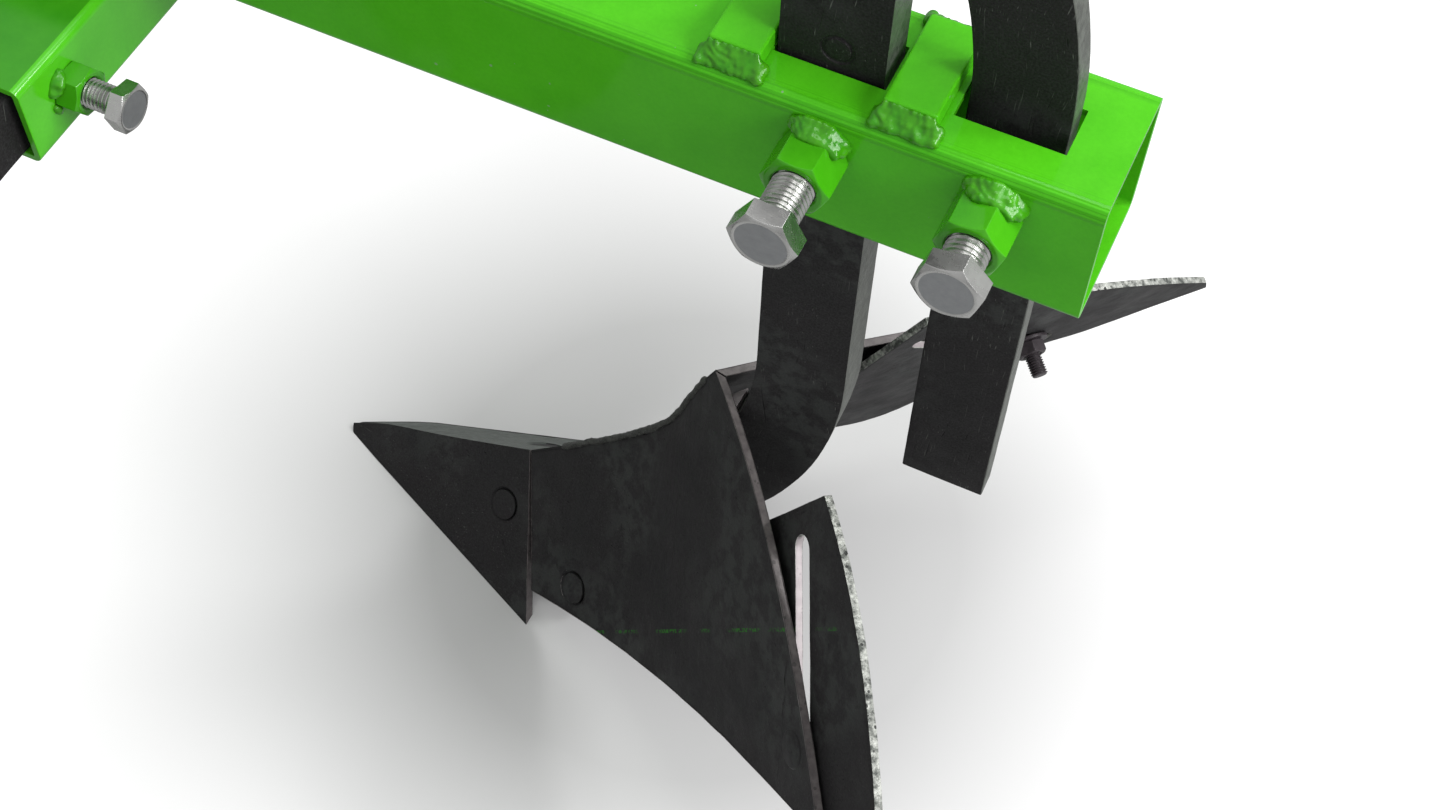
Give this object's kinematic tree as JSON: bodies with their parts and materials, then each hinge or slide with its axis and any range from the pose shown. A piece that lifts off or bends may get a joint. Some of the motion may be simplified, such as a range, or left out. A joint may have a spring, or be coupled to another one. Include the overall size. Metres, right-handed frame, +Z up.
{
  "type": "walk behind ridger",
  "caption": "Ridging body with a share, curved mouldboards and sliding wings on a square beam, with a depth stake, a crossbar and gauge wheels on sliding arms.",
  "frame": {"origin": "middle of the hitch hole, on the axis of the beam", "axes": "+X back along the beam, away from the hitch; +Y to the right of the way it travels; +Z up, along the hitch hole"},
  "size_m": [0.8549, 0.7312, 0.5294],
  "materials": {
    "green_paint": "gloss",
    "black_steel": "satin",
    "zinc": "satin",
    "dark_steel": "satin",
    "tyre": "matt",
    "grey_paint": "satin",
    "bronze": "satin"
  },
  "bodies": {
    "frame": {"main_beam": "green_paint", "hitch_lugs": "green_paint", "front_pad": "green_paint", "rear_pad": "green_paint", "pad_welds": "green_paint", "crossbar": "green_paint", "crossbar_welds": "green_paint", "shank_nut": "green_paint", "stake_nut": "green_paint", "left_arm_nut": "green_paint", "right_arm_nut": "green_paint", "nut_welds": "green_paint"},
    "ridger": {"ridger_shank": "black_steel", "body_frog": "black_steel", "apex_gusset": "black_steel", "share": "black_steel", "left_mouldboard": "black_steel", "right_mouldboard": "black_steel", "ridge_weld": "black_steel", "share_bolts": "dark_steel", "share_nuts": "dark_steel", "left_wing_bolt": "dark_steel", "right_wing_bolt": "dark_steel"},
    "depth_stake": {"depth_stake": "black_steel"},
    "shank_clamp_bolt": {"shank_clamp_bolt": "zinc"},
    "stake_clamp_bolt": {"stake_clamp_bolt": "zinc"},
    "left_wing_clamp": {"left_wing_washer": "dark_steel", "left_wing_nut": "dark_steel"},
    "left_wing": {"left_wing": "black_steel"},
    "left_arm_clamp_bolt": {"left_arm_clamp_bolt": "zinc"},
    "left_arm": {"left_arm": "black_steel", "left_axle": "zinc", "left_axle_nut": "zinc", "left_wheel_washers": "zinc", "left_end_nut": "zinc", "left_split_pin": "zinc"},
    "left_wheel": {"left_tyre": "tyre", "left_rim": "grey_paint", "left_bush": "bronze"},
    "right_wing_clamp": {"right_wing_washer": "dark_steel", "right_wing_nut": "dark_steel"},
    "right_wing": {"right_wing": "black_steel"},
    "right_arm_clamp_bolt": {"right_arm_clamp_bolt": "zinc"},
    "right_arm": {"right_arm": "black_steel", "right_axle": "zinc", "right_axle_nut": "zinc", "right_wheel_washers": "zinc", "right_end_nut": "zinc", "right_split_pin": "zinc"},
    "right_wheel": {"right_tyre": "tyre", "right_rim": "grey_paint", "right_bush": "bronze"}
  },
  "joints": [
    {"name": "ridger_height", "type": "slide", "parent": "frame", "child": "ridger", "axis": [0, 0, 1], "range_m": [-0.05, 0.06]},
    {"name": "stake_height", "type": "slide", "parent": "frame", "child": "depth_stake", "axis": [0, 0, 1], "range_m": [-0.015, 0.1]},
    {"name": "shank_bolt_back_off", "type": "slide", "parent": "frame", "child": "shank_clamp_bolt", "axis": [0, -1, 0], "range_m": [0, 0.012]},
    {"name": "stake_bolt_back_off", "type": "slide", "parent": "frame", "child": "stake_clamp_bolt", "axis": [0, -1, 0], "range_m": [0, 0.012]},
    {"name": "left_wing_tilt", "type": "hinge", "parent": "ridger", "child": "left_wing_clamp", "pos_m": [0.74986, -0.12357, -0.24821], "axis": [-0.7173, -0.6201, 0.3177], "range_deg": [-8, 8]},
    {"name": "left_wing_reach", "type": "slide", "parent": "left_wing_clamp", "child": "left_wing", "axis": [0.3584, -0.7194, -0.5949], "range_m": [-0.006, 0.078]},
    {"name": "left_arm_bolt_back_off", "type": "slide", "parent": "frame", "child": "left_arm_clamp_bolt", "axis": [1, 0, 0], "range_m": [0, 0.01]},
    {"name": "left_arm_reach", "type": "slide", "parent": "frame", "child": "left_arm", "axis": [0, -1, 0], "range_m": [-0.006, 0.05]},
    {"name": "left_wheel_spin", "type": "hinge", "parent": "left_arm", "child": "left_wheel", "pos_m": [0.3857, -0.32, -0.3095], "axis": [0, 1, 0], "continuous": true},
    {"name": "right_wing_tilt", "type": "hinge", "parent": "ridger", "child": "right_wing_clamp", "pos_m": [0.75859, 0.11916, -0.24821], "axis": [-0.6709, 0.67, 0.3177], "range_deg": [-8, 8]},
    {"name": "right_wing_reach", "type": "slide", "parent": "right_wing_clamp", "child": "right_wing", "axis": [0.4092, 0.6918, -0.5949], "range_m": [-0.006, 0.078]},
    {"name": "right_arm_bolt_back_off", "type": "slide", "parent": "frame", "child": "right_arm_clamp_bolt", "axis": [1, 0, 0], "range_m": [0, 0.01]},
    {"name": "right_arm_reach", "type": "slide", "parent": "frame", "child": "right_arm", "axis": [0, 1, 0], "range_m": [-0.006, 0.05]},
    {"name": "right_wheel_spin", "type": "hinge", "parent": "right_arm", "child": "right_wheel", "pos_m": [0.3857, 0.32, -0.3095], "axis": [0, 1, 0], "continuous": true}
  ]
}
